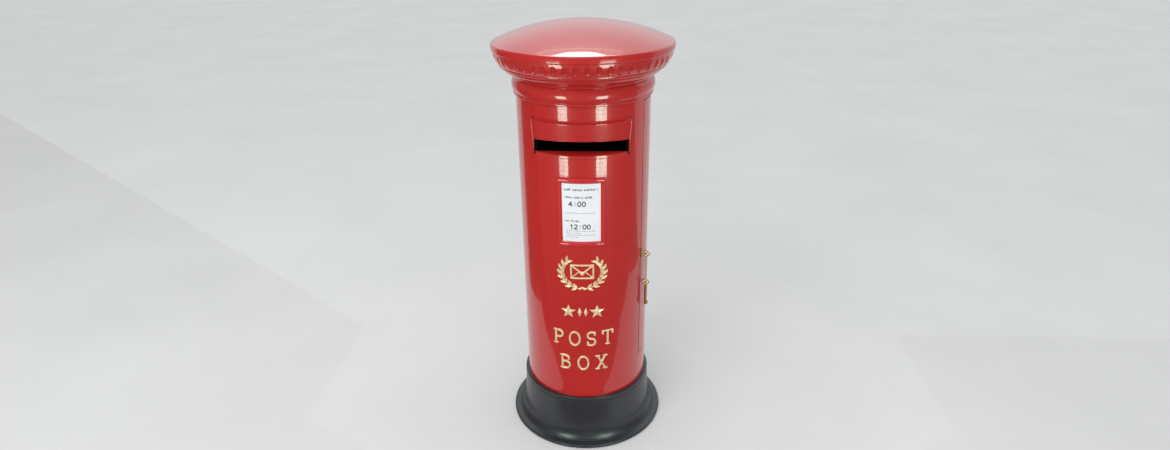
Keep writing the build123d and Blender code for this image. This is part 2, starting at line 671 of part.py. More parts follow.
def lock_plug():
    """Turning core; the key's way is open to its rim on the underside."""
    core = rod(LOCK_AZ, LOCK_Z, PLUG_U0, LOCK_FACE_U, PLUG_R)
    half = TAIL_SIDE / 2
    core += bar(LOCK_AZ, LOCK_Z, -half, half, -half, half, TAIL_U0, PLUG_U0)
    way_u = key_tip_u() - 0.3
    core -= rod(LOCK_AZ, LOCK_Z, way_u, LOCK_FACE_U + 1, KEY_STEM_R + RUN_GAP)
    slot = BIT_T / 2 + 0.1
    core -= bar(LOCK_AZ, LOCK_Z, -slot, slot, -PLUG_R - 1, 0, way_u, LOCK_FACE_U + 1)
    return core - rod(LOCK_AZ, LOCK_Z, TAIL_U0 - 1, TAIL_U0 + CAM_SCREW_L + 0.2, CAM_SCREW_R + RUN_GAP)


def lock_cam():
    """Latch arm, hanging down when unlocked."""
    reach = CAM_L - CAM_W / 2
    arm = Circle(CAM_W / 2 + 0.6) + Pos(0, -reach / 2) * Rectangle(CAM_W, reach)
    arm += Pos(0, -reach) * Circle(CAM_W / 2)
    arm -= Rectangle(TAIL_SIDE + 0.1, TAIL_SIDE + 0.1)
    return extrude(radial(LOCK_AZ, LOCK_Z, TAIL_U0) * arm, CAM_T)


def cam_screw():
    tip = TAIL_U0 + CAM_SCREW_L
    return radial_screw(LOCK_AZ, LOCK_Z, TAIL_U0, tip, CAM_SCREW_R, CAM_HEAD_R, CAM_HEAD_H)


def keeper_screw_places():
    return [(az, LOCK_Z) for az in KEEPER_SCREW_AZ]


def keeper():
    """Bracket inside the front jamb; the cam turns behind its lip."""
    half = KEEPER_H / 2
    foot = sector(BODY_IN - KEEPER_FOOT_T, BODY_IN, LOCK_Z - half, LOCK_Z + half, 43.0, 56.5)
    web = bar(LOCK_AZ, LOCK_Z, -KEEPER_REACH, -KEEPER_REACH + KEEPER_T, -half, half, KEEPER_U, KEEPER_WEB_U1)
    lip = bar(LOCK_AZ, LOCK_Z, -KEEPER_REACH, -KEEPER_LIP, -half, half, KEEPER_U, KEEPER_U + KEEPER_T)
    part = foot + web + lip
    for az, z in keeper_screw_places():
        part -= rod(az, z, BODY_IN - 5, BODY_IN + 1, M3_R + RUN_GAP)
    return part


def keeper_screws():
    seat = BODY_IN - KEEPER_FOOT_T - FIT_GAP
    return [radial_screw(az, z, seat, BODY_R - 1.2, M3_R, M3_HEAD_R, M3_HEAD_H)
            for az, z in keeper_screw_places()]


# ---------------------------------------------------------------- keys
def key_tip_u():
    return LOCK_FACE_U + KEY_STAND - KEY_STEM_L


def key_blank():
    """A key along +Y from its tip at the origin, its bit towards +X, its bow in the XY plane."""
    collar_y = KEY_STEM_L
    stem = Rot(-90, 0, 0) * Cylinder(KEY_STEM_R, KEY_STEM_L, align=(Align.CENTER, Align.CENTER, Align.MIN))
    collar = Pos(0, collar_y, 0) * Rot(-90, 0, 0) * Cylinder(
        KEY_COLLAR_R, KEY_COLLAR_T, align=(Align.CENTER, Align.CENTER, Align.MIN))
    lobes_y = collar_y + KEY_COLLAR_T + LOBE_STEP
    centres = [(-LOBE_OFF, lobes_y), (LOBE_OFF, lobes_y), (0, lobes_y + LOBE_OFF)]
    bow = Pos(0, lobes_y - LOBE_STEP / 2) * Rectangle(2.4, LOBE_STEP + 1.6)
    for x, y in centres:
        bow += Pos(x, y) * Circle(LOBE_R)
    for x, y in centres:
        bow -= Pos(x, y) * Circle(LOBE_HOLE_R)
    key = stem + collar + extrude(bow, BOW_T / 2, both=True)
    bit = Pos(BIT_REACH / 2, 1.0 + BIT_L / 2) * Rectangle(BIT_REACH, BIT_L)
    bit -= Pos(BIT_REACH - 0.5, 1.0 + BIT_L / 2) * Rectangle(1.0, 1.2)
    return key + extrude(bit, BIT_T / 2, both=True)


def key_plane(u, z, bit_dir):
    """Plane of a key in the lock's upright plane, its bit pointing along bit_dir."""
    a = radians(LOCK_AZ)
    return Plane(origin=(u * sin(a), -u * cos(a), z), x_dir=bit_dir, z_dir=(-cos(a), -sin(a), 0))


def door_key():
    """The key in the lock, bit down."""
    return key_plane(key_tip_u(), LOCK_Z, (0, 0, -1)) * key_blank()


def link_u():
    """Distance of the hanging link's plane from the body's axis."""
    return LOCK_FACE_U + KEY_STAND + KEY_COLLAR_T + LOBE_STEP


def link_top_z():
    """Centre of the door key's lower lobe rim, which the link hangs on."""
    return LOCK_Z - LOBE_OFF - (LOBE_R + LOBE_HOLE_R) / 2


def key_link():
    """Closed wire link from the door key's bow down to the spare key's bow."""
    plane = radial(LOCK_AZ, 0, link_u())
    top = link_top_z()
    low = SPARE_PIVOT_Z
    r = LINK_BEND_R
    path = Wire([
        Edge.make_line((-r, low, 0), (-r, top, 0)),
        Edge.make_three_point_arc((-r, top, 0), (0, top + r, 0), (r, top, 0)),
        Edge.make_line((r, top, 0), (r, low, 0)),
        Edge.make_three_point_arc((r, low, 0), (0, low - r, 0), (-r, low, 0)),
    ])
    section = Plane(origin=(-r, low, 0), z_dir=(0, 1, 0)) * Circle(LINK_WIRE_R)
    return plane * sweep(section, path=path)


def spare_key():
    """The second key, hanging bow up with its bit outwards."""
    a = radians(LOCK_AZ)
    bow_top = KEY_STEM_L + KEY_COLLAR_T + LOBE_STEP + LOBE_OFF + (LOBE_R + LOBE_HOLE_R) / 2
    return key_plane(link_u(), SPARE_PIVOT_Z - bow_top, (sin(a), -cos(a), 0)) * key_blank()


NODES = {
    "plinth": plinth,
    "floor_plate": floor_plate,
    "base_screws": base_screws,
    "body_shell": body_shell,
    "neck_collar": neck_collar,
    "cap": cap,
    "cap_screws": cap_screws,
    "aperture_frame": aperture_frame,
    "aperture_screws": aperture_screws,
    "notice_frame": notice_frame,
    "notice_card": notice_card,
    "notice_screws": notice_screws,
    "emblem": emblem,
    "star_row": star_row,
    "upper_lettering": lambda: row_of((letter_p, letter_o, letter_s, letter_t), UPPER_ROW_Z, UPPER_PITCH),
    "lower_lettering": lambda: row_of((letter_b, letter_o, letter_x), LOWER_ROW_Z, LOWER_PITCH),
    "door_panel": door_panel,
    "hinge_body_screws": lambda: hinge_screws(1),
    "hinge_door_screws": lambda: hinge_screws(-1),
    "lock_barrel": lock_barrel,
    "lock_nut": lock_nut,
    "lock_plug": lock_plug,
    "lock_cam": lock_cam,
    "cam_screw": cam_screw,
    "keeper": keeper,
    "keeper_screws": keeper_screws,
    "door_key": door_key,
    "key_link": key_link,
    "spare_key": spare_key,
}
for level, height in HINGE_ZS.items():
    NODES["hinge_body_leaf_" + level] = lambda z=height: hinge_leaf(1, z)
    NODES["hinge_door_leaf_" + level] = lambda z=height: hinge_leaf(-1, z)
    NODES["hinge_pin_" + level] = lambda z=height: hinge_pin(z)

os.makedirs("parts", exist_ok=True)
for name, make in NODES.items():
    shape = make()
    if isinstance(shape, list):
        shape = Compound(children=[solid for piece in shape for solid in piece.solids()])
    export_step(shape, "parts/" + name + ".step")
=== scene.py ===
import bpy
import numpy as np
from math import sin, cos, radians, pi
from random import Random
from mathutils import Matrix, Vector
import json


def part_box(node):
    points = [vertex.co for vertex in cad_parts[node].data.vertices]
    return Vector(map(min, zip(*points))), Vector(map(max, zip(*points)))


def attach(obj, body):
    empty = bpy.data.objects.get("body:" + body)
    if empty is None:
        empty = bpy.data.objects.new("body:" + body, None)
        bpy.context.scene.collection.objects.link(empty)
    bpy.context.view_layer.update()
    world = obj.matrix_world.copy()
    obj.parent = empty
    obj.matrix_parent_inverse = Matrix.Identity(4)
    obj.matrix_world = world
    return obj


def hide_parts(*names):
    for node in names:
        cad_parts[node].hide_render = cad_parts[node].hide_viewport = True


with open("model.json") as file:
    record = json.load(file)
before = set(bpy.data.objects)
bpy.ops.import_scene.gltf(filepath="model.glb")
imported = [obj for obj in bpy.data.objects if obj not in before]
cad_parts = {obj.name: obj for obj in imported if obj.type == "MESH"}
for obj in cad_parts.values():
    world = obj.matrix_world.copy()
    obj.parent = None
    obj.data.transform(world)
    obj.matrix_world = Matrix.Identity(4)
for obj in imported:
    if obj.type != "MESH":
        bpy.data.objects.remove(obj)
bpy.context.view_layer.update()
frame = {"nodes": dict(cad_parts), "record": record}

NODES = frame["nodes"]
MM = 0.001

# ---- body and letter slot
BODY_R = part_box("door_panel")[1].x          # outer radius of the body and its door
SKIN = 0.2 * MM                             # how far under the body radius its red enamel reaches
SILL_TOP = 4.0 * MM                         # top of the slot's sill above the slot casting's lowest point
SILL_STRIP_Y = -65.3 * MM                   # rear edge of the strip of painted light along the sill; behind it the sill is painted black as shade
SLOT_FLOOR = 2.2 * MM                       # height above the sill where the painted shade's black on the slot's ends begins

# ---- paint colours
RED_LOW, RED_HIGH = (0.432, 0.010, 0.009, 1), (0.498, 0.014, 0.012, 1)
# Painted light: the notice moulding's red, lighter than the body's, stands in for its highlights.
LIT_FRAME_RED_LOW, LIT_FRAME_RED_HIGH = (0.50, 0.010, 0.014, 1), (0.56, 0.014, 0.018, 1)
RED_SPECK = (0.25, 0.008, 0.008, 1)
# Painted light: a lighter red on the sill's front strip, which the slot's hood shades.
PAINTED_LIGHT_RED = (0.72, 0.030, 0.022, 1)
# Painted shade: black in the slot, on the sides of the door's seam and in the letter space.
PAINTED_SHADE_BLACK = (0.006, 0.006, 0.007, 1)
ENAMEL_EDGE = 0.6 * MM                      # how far the enamel rounds an edge
SLOT_EDGE = 1.4 * MM                        # the same on the slot casting

# ---- camera
LENS = 21.695                               # millimetres, on a sensor 36 mm wide
SENSOR = 36.0
CAM_AZ = radians(2.9)                       # round from the front towards +X
CAM_DISTANCE = 0.8913
CAM_HEIGHT = 0.7020
CAM_PITCH = radians(24.37)
CAM_ROLL = radians(-0.665)

# ---- stage
STAGE_HALF = 14.0
TABLE_FRONT, TABLE_BACK = -0.17, 0.20
TABLE_LEFT, TABLE_RIGHT = -0.42, 0.54
CORNER_CUT_Y = -0.06                        # where the table's cut-off front corners end
DIM_COLOUR = (0.24, 0.165, 0.15, 1)
DARK_COLOUR = (0.12, 0.07, 0.06, 1)
DIM_WALL = (0.24, 0.17, 0.155, 1)
AMBIENT = (0.80, 0.81, 0.82, 1)             # what lights matt surfaces
BACKDROP = (0.76, 0.77, 0.765, 1)           # what the camera sees past the floor
DAYLIGHT = (0.76, 1.0, 0.86, 1)
WINDOW_R, WINDOW_TOP = 0.56, 0.455
SLAT_STRENGTH, PATCH_STRENGTH = 8.0, 12.5
LAMP_STRENGTH, RIM_STRENGTH = 13.0, 2.6
RIM_LEFT, RIM_RIGHT, RIM_STEPS = -0.300, 0.211, 4


# ------------------------------------------------------------------ shader helpers
class Shader:
    """A small wrapper that adds nodes to one material or world and links them."""

    def __init__(self, owner):
        owner.use_nodes = True
        self.tree = owner.node_tree
        self.tree.nodes.clear()

    def add(self, kind, inputs=None, **props):
        node = self.tree.nodes.new(kind)
        for key, value in props.items():
            setattr(node, key, value)
        for key, value in (inputs or {}).items():
            self.put(node.inputs[key], value)
        return node

    def put(self, socket, value):
        if isinstance(value, bpy.types.NodeSocket):
            self.tree.links.new(value, socket)
        else:
            socket.default_value = value

    def place(self):
        """Object-space position, in metres."""
        return self.add("ShaderNodeTexCoord").outputs["Object"]

    def noise(self, where, scale, detail=3.0, rough=0.5):
        inputs = {"Vector": where, "Scale": scale, "Detail": detail, "Roughness": rough}
        return self.add("ShaderNodeTexNoise", inputs).outputs["Fac"]

    def ramp(self, value, *stops):
        """Value through a colour ramp of (position, colour or grey)."""
        node = self.add("ShaderNodeValToRGB", {"Fac": value})
        ramp = node.color_ramp
        while len(ramp.elements) < len(stops):
            ramp.elements.new(0.5)
        for element, (spot, colour) in zip(ramp.elements, stops):
            element.position = spot
            element.color = colour if hasattr(colour, "__len__") else (colour, colour, colour, 1)
        return node.outputs["Color"]

    def mix(self, factor, a, b):
        node = self.add("ShaderNodeMix", data_type="RGBA")
        colours = [socket for socket in node.inputs if socket.type == "RGBA"]
        self.put(node.inputs["Factor"], factor)
        self.put(colours[0], a)
        self.put(colours[1], b)
        return next(socket for socket in node.outputs if socket.type == "RGBA")

    def maths(self, operation, a, b=0.0):
        node = self.add("ShaderNodeMath", operation=operation)
        self.put(node.inputs[0], a)
        self.put(node.inputs[1], b)
        return node.outputs[0]

    def bump(self, height, strength, distance, under=None):
        inputs = {"Height": height, "Strength": strength, "Distance": distance}
        if under is not None:
            inputs["Normal"] = under
        return self.add("ShaderNodeBump", inputs).outputs["Normal"]

    def pointiness(self, *stops):
        """Through a ramp: under 0.5 in hollows, over it on outer edges."""
        return self.ramp(self.add("ShaderNodeNewGeometry").outputs["Pointiness"], *stops)

    def surface(self, inputs):
        principled = self.add("ShaderNodeBsdfPrincipled", inputs)
        self.add("ShaderNodeOutputMaterial", {"Surface": principled.outputs["BSDF"]})

    def shine(self, colour, strength):
        light = self.add("ShaderNodeEmission", {"Color": colour, "Strength": strength})
        self.add("ShaderNodeOutputMaterial", {"Surface": light.outputs["Emission"]})

    def off_axis(self, where):
        """Distance of a place from the body's upright axis."""
        xyz = self.add("ShaderNodeSeparateXYZ", {"Vector": where})
        x, y = xyz.outputs["X"], xyz.outputs["Y"]
        squares = self.maths("ADD", self.maths("MULTIPLY", x, x), self.maths("MULTIPLY", y, y))
        return self.maths("SQRT", squares)


def material(name):
    made = bpy.data.materials.new(name)
    return made, Shader(made)


def dress(obj, made):
    obj.data.materials.clear()
    obj.data.materials.append(made)
    return obj


# ------------------------------------------------------------------ materials
def enamel_material(name, low, high, edge=ENAMEL_EDGE, inner=None):
    """Thick gloss enamel: faint waviness, orange peel, dust specks and softened edges.

    Where given, inner(shader, place) returns the masks of the painted shade, in black without a coat, and of
    the painted light, in a lighter red.
    """
    made, s = material(name)
    where = s.place()
    body = s.ramp(s.noise(where, 6.0, 4.0), (0.30, low), (0.72, high))
    specks = s.ramp(s.noise(where, 900.0, 2.0, 0.7), (0.70, 0.0), (0.78, 1.0))
    body = s.mix(s.maths("MULTIPLY", specks, 0.10), body, RED_SPECK)
    weight = 1.0
    # Painted shade in black without a coat, and painted light in a lighter red, where inner's masks say.
    if inner:
        inside, painted_light = inner(s, where)
        body = s.mix(painted_light, body, PAINTED_LIGHT_RED)
        body = s.mix(inside, body, PAINTED_SHADE_BLACK)
        weight = s.maths("SUBTRACT", 1.0, inside)
    soft = s.add("ShaderNodeBevel", {"Radius": edge}).outputs["Normal"]
    waves = s.bump(s.noise(where, 17.0, 2.0, 0.4), 0.10, 0.0016, soft)
    peel = s.bump(s.noise(where, 420.0, 2.0, 0.5), 0.05, 0.00010, waves)
    smear = s.ramp(s.noise(where, 28.0, 5.0, 0.6), (0.35, 0.030), (0.75, 0.075))
    s.surface({
        "Base Color": body, "Roughness": 0.34, "Normal": peel, "IOR": 1.5, "Specular IOR Level": 0.22,
        "Coat Weight": weight, "Coat Roughness": smear, "Coat IOR": 1.55, "Coat Normal": peel,
    })
    return made


def slot_inner(s, where):
    """Painted shade in black: the slot's ends, and its sill behind a straight front strip. Painted light in
    a lighter red: that strip.
    """
    sill_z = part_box("aperture_frame")[0].z + SILL_TOP
    xyz = s.add("ShaderNodeSeparateXYZ", {"Vector": where})
    y, z = xyz.outputs["Y"], xyz.outputs["Z"]
    sunk = s.maths("LESS_THAN", s.off_axis(where), BODY_R - 0.5 * SKIN)
    over_sill = s.maths("GREATER_THAN", z, sill_z + SLOT_FLOOR)
    behind = s.maths("GREATER_THAN", y, SILL_STRIP_Y)
    # Painted shade: black over the sill at the slot's ends, and on the sill behind its front strip.
    black = s.maths("MAXIMUM", s.maths("MULTIPLY", sunk, over_sill), behind)
    # Painted light: a lighter red on the sunk sill's front strip, in the hood's shade.
    painted_light = s.maths("MULTIPLY", sunk, s.maths("GREATER_THAN", z, sill_z - 1.5 * SKIN))
    return black, painted_light


def hidden_inner(s, where):
    """Painted shade in black: everything under the outer skin, which is the letter space and the sides of
    the door's seam; no painted light.
    """
    return s.maths("LESS_THAN", s.off_axis(where), BODY_R - SKIN), 0.0


def black_material():
    """Satin black enamel on the plinth, scuffed and dusty in patches."""
    made, s = material("black_enamel")
    where = s.place()
    tone = s.ramp(s.noise(where, 9.0, 4.0), (0.3, (0.017, 0.021, 0.025, 1)),
                  (0.7, (0.024, 0.028, 0.033, 1)))
    dust = s.ramp(s.noise(where, 55.0, 6.0, 0.65), (0.52, 0.0), (0.80, 1.0))
    tone = s.mix(s.maths("MULTIPLY", dust, 0.05), tone, (0.12, 0.12, 0.115, 1))
    rough = s.ramp(s.noise(where, 24.0, 5.0, 0.6), (0.3, 0.27), (0.75, 0.40))
    grain = s.bump(s.noise(where, 520.0, 3.0, 0.6), 0.10, 0.00015)
    s.surface({"Base Color": tone, "Roughness": rough, "Normal": grain, "IOR": 1.5,
               "Coat Weight": 0.10, "Coat Roughness": 0.22})
    return made


def gilt_material():
    """Hand-brushed pale gold, darker in the low places."""
    made, s = material("gilt")
    where = s.place()
    brushed = s.noise(where, 260.0, 5.0, 0.65)
    gold = s.ramp(brushed, (0.30, (0.66, 0.42, 0.19, 1)), (0.50, (0.90, 0.69, 0.42, 1)),
                  (0.72, (1.0, 0.88, 0.66, 1)))
    hollow = s.pointiness((0.44, 1.0), (0.50, 0.0))
    gold = s.mix(s.maths("MULTIPLY", hollow, 0.75), gold, (0.16, 0.09, 0.035, 1))
    rough = s.ramp(brushed, (0.3, 0.44), (0.7, 0.30))
    lumps = s.bump(brushed, 0.35, 0.00035)
    s.surface({"Base Color": gold, "Metallic": 0.35, "Roughness": rough, "Normal": lumps,
               "Coat Weight": 0.5, "Coat Roughness": 0.12})
    return made


def brass_material(name, light, dark, roughness):
    """Handled brass, brighter where it is worn."""
    made, s = material(name)
    where = s.place()
    blot = s.noise(where, 130.0, 5.0, 0.6)
    tone = s.ramp(blot, (0.35, dark), (0.62, light))
    edges = s.pointiness((0.50, 0.0), (0.58, 1.0))
    tone = s.mix(s.maths("MULTIPLY", edges, 0.6), tone, (0.95, 0.78, 0.52, 1))
    rough = s.ramp(blot, (0.3, roughness + 0.14), (0.7, roughness))
    grain = s.bump(s.noise(where, 900.0, 2.0), 0.12, 0.00008)
    s.surface({"Base Color": tone, "Metallic": 1.0, "Roughness": rough, "Normal": grain})
    return made


def steel_material():
    """Zinc-plated steel with a faint crystalline bloom."""
    made, s = material("steel")
    where = s.place()
    flake = s.add("ShaderNodeTexVoronoi", {"Vector": where, "Scale": 260.0}).outputs["Color"]
    tone = s.mix(0.10, (0.52, 0.53, 0.55, 1), flake)
    rough = s.ramp(s.noise(where, 90.0, 4.0), (0.3, 0.28), (0.7, 0.44))
    s.surface({"Base Color": tone, "Metallic": 1.0, "Roughness": rough})
    return made


def card_material():
    """Smooth coated card, a shade uneven."""
    made, s = material("card")
    where = s.place()
    tone = s.ramp(s.noise(where, 40.0, 5.0), (0.3, (0.74, 0.76, 0.79, 1)),
                  (0.7, (0.80, 0.82, 0.845, 1)))
    fibres = s.bump(s.noise(where, 1500.0, 3.0, 0.7), 0.08, 0.00005)
    s.surface({"Base Color": tone, "Roughness": 0.38, "Normal": fibres, "Specular IOR Level": 0.4})
    return made


def ink_material():
    """Grey-black printing ink, unevenly taken by the card."""
    made, s = material("ink")
    tone = s.ramp(s.noise(s.place(), 600.0, 3.0), (0.3, 0.03), (0.7, 0.075))
    s.surface({"Base Color": tone, "Roughness": 0.5})
    return made


# The record's material slots, and looks of their own for pieces whose finish differs within a slot.
MATERIALS = {
    "red_enamel": enamel_material("red_enamel", RED_LOW, RED_HIGH),
    # The slot's look holds painted shade in black and painted light in a lighter red.
    "slot_enamel": enamel_material("slot_enamel", RED_LOW, RED_HIGH, SLOT_EDGE, slot_inner),
    # The shell's look holds painted shade in black under the outer skin.
    "shell_enamel": enamel_material("shell_enamel", RED_LOW, RED_HIGH, inner=hidden_inner),
    # Painted light: a lighter red on the notice moulding.
    "frame_enamel": enamel_material("frame_enamel", LIT_FRAME_RED_LOW, LIT_FRAME_RED_HIGH),
    "black_enamel": black_material(),
    "gilt": gilt_material(),
    "brass": brass_material("brass", (0.88, 0.64, 0.42, 1), (0.58, 0.37, 0.21, 1), 0.18),
    "worn_brass": brass_material("worn_brass", (0.34, 0.13, 0.08, 1), (0.17, 0.06, 0.04, 1), 0.46),
    "wire": brass_material("wire", (0.70, 0.55, 0.30, 1), (0.38, 0.26, 0.12, 1), 0.26),
    "steel": steel_material(),
    "card": card_material(),
    "ink": ink_material(),
}
OWN_LOOK = {"aperture_frame": "slot_enamel", "body_shell": "shell_enamel", "door_panel": "shell_enamel",
            "lock_barrel": "worn_brass", "lock_plug": "worn_brass"}


def slot_of_node():
    """{node: material slot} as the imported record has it."""
    return {p["node"]: p["material_slot"] for p in frame["record"]["subparts"]}


# ------------------------------------------------------------------ shapes wrapped on the body
FACET_RIM = 0.35                            # millimetres that a faceted outline stands up
LEAF_VEIN, LEAF_VEIN_WIDTH = 0.30, 0.22     # depth and width of a leaf's middle groove, as shares


def wrapped(x, z, height, radius):
    """Point at an arc length x round the front, a height z, and a distance out from the radius."""
    az = x / BODY_R
    out = radius + height
    return (out * sin(az), -out * cos(az), z)


def solid(name, points, faces, made, sharp=50):
    """A named mesh that rides on the body."""
    mesh = bpy.data.meshes.new(name)
    mesh.from_pydata(points, [], faces)
    mesh.shade_smooth()
    mesh.set_sharp_from_angle(angle=radians(sharp))
    obj = bpy.data.objects.new(name, mesh)
    bpy.context.scene.collection.objects.link(obj)
    dress(obj, made)
    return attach(obj, "body")


class Field:
    """A patch of the body's surface from which rounded strokes and facets stand up, in millimetres.

    Each point of its grid holds how far it lies outside the nearest outline, and how high it stands.
    """

    def __init__(self, half_x, half_y, cell):
        nx, ny = int(2 * half_x / cell) + 1, int(2 * half_y / cell) + 1
        self.x, self.y = np.meshgrid(np.linspace(-half_x, half_x, nx), np.linspace(-half_y, half_y, ny))
        self.away = np.full(self.x.shape, 9.0)
        self.rise = np.zeros(self.x.shape)

    def lay(self, away, rise):
        self.away = np.minimum(self.away, away)
        self.rise = np.maximum(self.rise, np.where(away < 0, rise, 0.0))

    def along(self, x0, y0, dx, dy):
        """How far along a segment each grid point is, from 0 to 1, and its distance from the segment."""
        t = np.clip(((self.x - x0) * dx + (self.y - y0) * dy) / (dx * dx + dy * dy), 0, 1)
        return t, np.hypot(self.x - x0 - t * dx, self.y - y0 - t * dy)

    def stroke(self, path, half, tall, taper=False, flat=False):
        """A rounded bar along a path; tapered, it is a leaf, widest in its middle."""
        for (x0, y0), (x1, y1) in zip(path, path[1:]):
            dx, dy = x1 - x0, y1 - y0
            t, gap = self.along(x0, y0, dx, dy)
            width = half * (0.12 + 0.88 * np.sin(pi * np.clip(t, 0.02, 0.98)) ** 0.8) if taper else half
            q = np.clip(gap / width, 0, 1)
            top = np.sqrt(1 - q ** 2.4)
            if taper:
                top = top * (1 - LEAF_VEIN * np.exp(-(q / LEAF_VEIN_WIDTH) ** 2))
            self.lay(gap - width, tall * (np.ones_like(q) if flat else top))

    def facets(self, corners, slope, tall):
        """A polygon whose faces climb from its outline, cut off level at the top."""
        near = np.full(self.x.shape, 99.0)
        inside = np.zeros(self.x.shape, bool)
        for (x0, y0), (x1, y1) in zip(corners, corners[1:] + corners[:1]):
            dx, dy = x1 - x0, y1 - y0
            near = np.minimum(near, self.along(x0, y0, dx, dy)[1])
            if dy:
                crosses = (self.y > min(y0, y1)) & (self.y <= max(y0, y1))
                inside ^= crosses & (self.x < x0 + (self.y - y0) * dx / dy)
        self.lay(np.where(inside, -near, near), np.minimum(FACET_RIM + slope * near, tall))

    def make(self, name, z_mid, made, radius, sunk=0.35, squash=1.0):
        """Closed mesh of everything laid so far: a top that ends on the outlines, and a sunk underside."""
        centre = (self.away[:-1, :-1] + self.away[1:, :-1] + self.away[:-1, 1:] + self.away[1:, 1:]) / 4
        kept = centre < 0
        padded = np.pad(kept, 1)
        cells = padded[:-1, :-1].astype(int) + padded[1:, :-1] + padded[:-1, 1:] + padded[1:, 1:]
        step = self.x[0, 1] - self.x[0, 0]
        gy, gx = np.gradient(self.away, step)
        rim = (cells > 0) & (cells < 4)
        move = np.where(rim, np.clip(self.away, -step, step), 0.0)
        px = self.x - move * gx
        py = self.y - move * gy
        rise = np.where(rim, 0.0, self.rise)
        index = np.full(self.x.shape, -1)
        index[cells > 0] = np.arange((cells > 0).sum())
        used = np.argwhere(cells > 0)
        count = len(used)
        spots = [(px[i, j] * MM, z_mid + py[i, j] * squash * MM) for i, j in used]
        top = [wrapped(x, z, rise[i, j] * MM, radius) for (x, z), (i, j) in zip(spots, used)]
        low = [wrapped(x, z, -sunk * MM, radius) for x, z in spots]
        faces = []
        sides = {}
        for i, j in np.argwhere(kept):
            a, b, c, d = index[i, j], index[i, j + 1], index[i + 1, j + 1], index[i + 1, j]
            faces.append((a, b, c, d))
            faces.append((d + count, c + count, b + count, a + count))
            for edge in ((a, b), (b, c), (c, d), (d, a)):
                if sides.pop(edge[::-1], None) is None:
                    sides[edge] = True
        faces += [(b, a, a + count, b + count) for a, b in sides]
        faces = [tuple(int(v) for v in face) for face in faces]
        return solid(name, top + low, faces, made)


def arc(cx, cy, radius, start, turn, squash=1.0, steps=18):
    """Points along an arc; angles in degrees."""
    spots = [radians(start + turn * i / steps) for i in range(steps + 1)]
    return [(cx + radius * cos(a), cy + radius * squash * sin(a)) for a in spots]


# ------------------------------------------------------------------ cast lettering
# In millimetres.
HALF_H = 10.4                               # half the height between a capital's centre lines
SERIF = 2.6
STEM_X = -4.4
THICK_HALF, THICK_TALL = 1.45, 1.95         # half width and height of a thick stroke
THIN_HALF, THIN_TALL = 0.95, 1.5
END_ROUND = 1.1                             # a capital's outline past its centre lines
RELIEF_CELL = 0.4                           # grid of the gilt relief
POST_PITCH, BOX_PITCH = 22.6, 25.0


def serifed(x, y0, y1):
    """Upright stem with small slab serifs."""
    return [[(x, y0), (x, y1)], [(x - SERIF, y0), (x + SERIF, y0)], [(x - SERIF, y1), (x + SERIF, y1)]]


def glyph(letter):
    """Centre lines of one of the capitals P, O, S, T, B and X, in millimetres round its middle."""
    h = HALF_H
    if letter == "P":
        bowl = [(STEM_X, h - 0.2)] + arc(0.6, h - 5.2, 5.2, 90, -180) + [(STEM_X, h - 10.4)]
        return serifed(STEM_X, -h, h) + [bowl]
    if letter == "O":
        return [arc(0, 0, 6.9, 0, 360, h / 6.9, 36)]
    if letter == "S":
        upper = arc(0, 5.2, 5.1, 28, 242)
        lower = arc(0, -5.1, 5.2, 90, -242)
        return [upper, lower, [(4.6, 9.6), (4.6, 5.8)], [(-4.8, -9.6), (-4.8, -5.6)]]
    if letter == "T":
        return [[(0, -h), (0, h)], [(-SERIF, -h), (SERIF, -h)], [(-7.0, h), (7.0, h)],
                [(-7.0, h), (-7.0, h - 4.2)], [(7.0, h), (7.0, h - 4.2)]]
    if letter == "B":
        upper = [(STEM_X, h)] + arc(0.2, h - 4.8, 4.8, 90, -180) + [(STEM_X, h - 9.6)]
        lower = [(STEM_X, h - 9.6)] + arc(0.6, -h + 5.6, 5.6, 90, -180) + [(STEM_X, -h)]
        return serifed(STEM_X, -h, h) + [upper, lower]
    wide = 5.4
    cross = [[(-wide, h), (wide, -h)], [(wide, h), (-wide, -h)]]
    feet = [(side * wide, end * h) for side in (-1, 1) for end in (-1, 1)]
    return cross + [[(x - SERIF, y), (x + SERIF, y)] for x, y in feet]


def letter_row(node, letters, pitch, name):
    """Raised capitals side by side in place of a row of the frame's."""
    lo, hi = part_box(node)
    field = Field(44.0, 13.0, RELIEF_CELL)
    start = -pitch * (len(letters) - 1) / 2
    for i, letter in enumerate(letters):
        for line in glyph(letter):
            thin = len(line) == 2 and line[0][1] == line[1][1]
            moved = [(x + start + i * pitch, y) for x, y in line]
            field.stroke(moved, THIN_HALF if thin else THICK_HALF, THIN_TALL if thin else THICK_TALL)
    squash = (hi.z - lo.z) / (2 * (HALF_H + END_ROUND) * MM)
    row = field.make(name, (lo.z + hi.z) / 2, MATERIALS["gilt"], BODY_R, squash=squash)
    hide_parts(node)


def star_corners(cx, cy, points, outer, inner):
    """Outline of a star, or with two points a lozenge."""
    corners = []
    for i in range(2 * points):
        a = radians(90 + i * 180 / points)
        r = outer if i % 2 == 0 else inner
        corners.append((cx + r * cos(a), cy + r * sin(a)))
    return corners


def stars():
    """Two faceted stars with two upright lozenges between them."""
    lo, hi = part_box("star_row")
    field = Field(34.0, 12.0, RELIEF_CELL)
    star_x, lozenge_x = 19.3, 4.1
    for side in (-1, 1):
        field.facets(star_corners(side * star_x, 0, 5, 10.8, 4.6), 0.55, 1.95)
        field.facets(star_corners(side * lozenge_x, 0, 2, 7.4, 2.8), 0.70, 1.8)
    row = field.make("cast_stars", (lo.z + hi.z) / 2, MATERIALS["gilt"], BODY_R)
    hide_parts("star_row")


